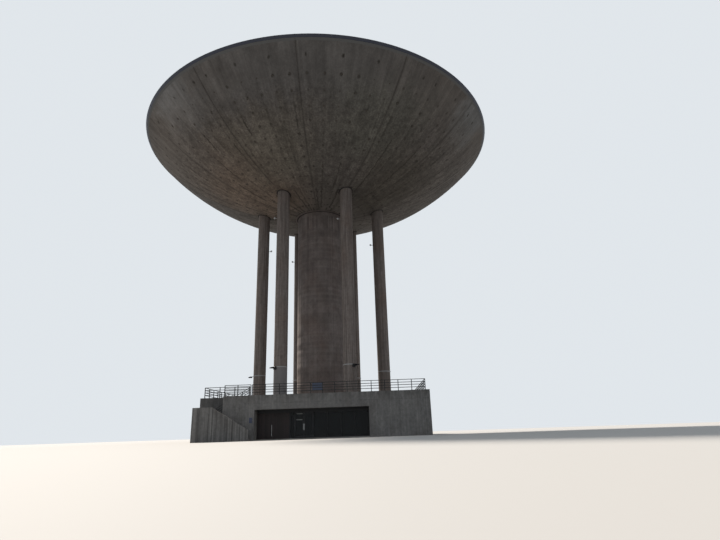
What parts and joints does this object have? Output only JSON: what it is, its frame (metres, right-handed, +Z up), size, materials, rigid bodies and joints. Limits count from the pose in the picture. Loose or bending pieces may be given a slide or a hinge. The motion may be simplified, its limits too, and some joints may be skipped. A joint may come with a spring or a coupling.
{
  "type": "water tower, 1:2 scale model",
  "caption": "Half-size concrete water tower: a shallow bowl-shaped tank on columns and a round central shaft, over a low entrance building with hinged doors, a railed terrace and a stair.",
  "frame": {"origin": "on the tower's axis at the ground level of the entrance", "axes": "+Z up, the entrance front faces -Y, +X to the right as seen from the front"},
  "size_m": [22, 22, 19.175],
  "materials": {
    "wall_concrete": "board-marked grey concrete, weathered",
    "column_concrete": "round columns cast in narrow upright boards, matt",
    "shell_concrete": "grey-brown concrete with radial board marks and stains",
    "roof_covering": "dark grey felt over the concrete roof, matt",
    "edge_metal": "dark blue-grey sheet, satin",
    "dark_steel": "dark grey paint, satin",
    "door_boards": "dark brown stained upright boards",
    "pull_steel": "brushed",
    "dark_glass": "dark tinted glass",
    "board_paint": "dark blue paint, bare of any text"
  },
  "bodies": {
    "tower": {"shaft": "wall_concrete", "floor_slab": "wall_concrete", "terrace_slab": "wall_concrete", "front_wall_left": "wall_concrete", "front_wall_right": "wall_concrete", "front_band": "wall_concrete", "side_wall_left": "wall_concrete", "side_wall_right": "wall_concrete", "back_wall": "wall_concrete", "recess_cheek_left": "wall_concrete", "recess_cheek_right": "wall_concrete", "recess_soffit": "wall_concrete", "stair_back_wall": "wall_concrete", "stair_parapet": "wall_concrete", "stair_end_wall": "wall_concrete", "stair_landing": "wall_concrete", "lower_flight": "wall_concrete", "upper_flight": "wall_concrete", "column_right": "column_concrete", "column_back_right": "column_concrete", "column_back_left": "column_concrete", "column_left": "column_concrete", "column_front_left": "column_concrete", "column_front_right": "column_concrete", "tank_shell_right": "shell_concrete", "tank_shell_back_right": "shell_concrete", "tank_shell_back_left": "shell_concrete", "tank_shell_left": "shell_concrete", "tank_shell_front_left": "shell_concrete", "tank_shell_front_right": "shell_concrete", "tank_roof": "roof_covering", "edge_band": "edge_metal", "roof_hatch": "edge_metal", "screen_head": "dark_steel", "sidelight_frame": "dark_steel", "glazing_frame": "dark_steel", "railing_front": "dark_steel", "railing_left": "dark_steel", "railing_right": "dark_steel", "railing_back": "dark_steel", "railing_stair": "dark_steel", "stair_handrail": "dark_steel", "strap_lamp_left": "dark_steel", "strap_lamp_front_left": "dark_steel", "strap_lamp_front_right": "dark_steel", "sidelight_glass": "dark_glass", "fixed_glass": "dark_glass", "notice_board": "board_paint"},
    "boarded_leaf_left": {"boarded_door_left": "door_boards", "boarded_door_pull": "pull_steel"},
    "boarded_leaf_right": {"boarded_door_right": "door_boards"},
    "entrance_leaf_left": {"entrance_door_left": "dark_steel", "entrance_glass_left": "dark_glass", "entrance_pull_left": "pull_steel"},
    "entrance_leaf_right": {"entrance_door_right": "dark_steel", "entrance_glass_right": "dark_glass", "entrance_pull_right": "pull_steel"}
  },
  "joints": [
    {"name": "boarded_hinge_left", "type": "hinge", "parent": "tower", "child": "boarded_leaf_left", "pos_m": [-2.7915, -4.144, 0.05], "axis": [0, 0, -1], "range_deg": [0, 90]},
    {"name": "boarded_hinge_right", "type": "hinge", "parent": "tower", "child": "boarded_leaf_right", "pos_m": [-1.1885, -4.144, 0.05], "axis": [0, 0, 1], "range_deg": [0, 90]},
    {"name": "entrance_hinge_left", "type": "hinge", "parent": "tower", "child": "entrance_leaf_left", "pos_m": [-0.9015, -4.144, 0.05], "axis": [0, 0, -1], "range_deg": [0, 90]},
    {"name": "entrance_hinge_right", "type": "hinge", "parent": "tower", "child": "entrance_leaf_right", "pos_m": [0.0015, -4.144, 0.05], "axis": [0, 0, 1], "range_deg": [0, 90]}
  ]
}
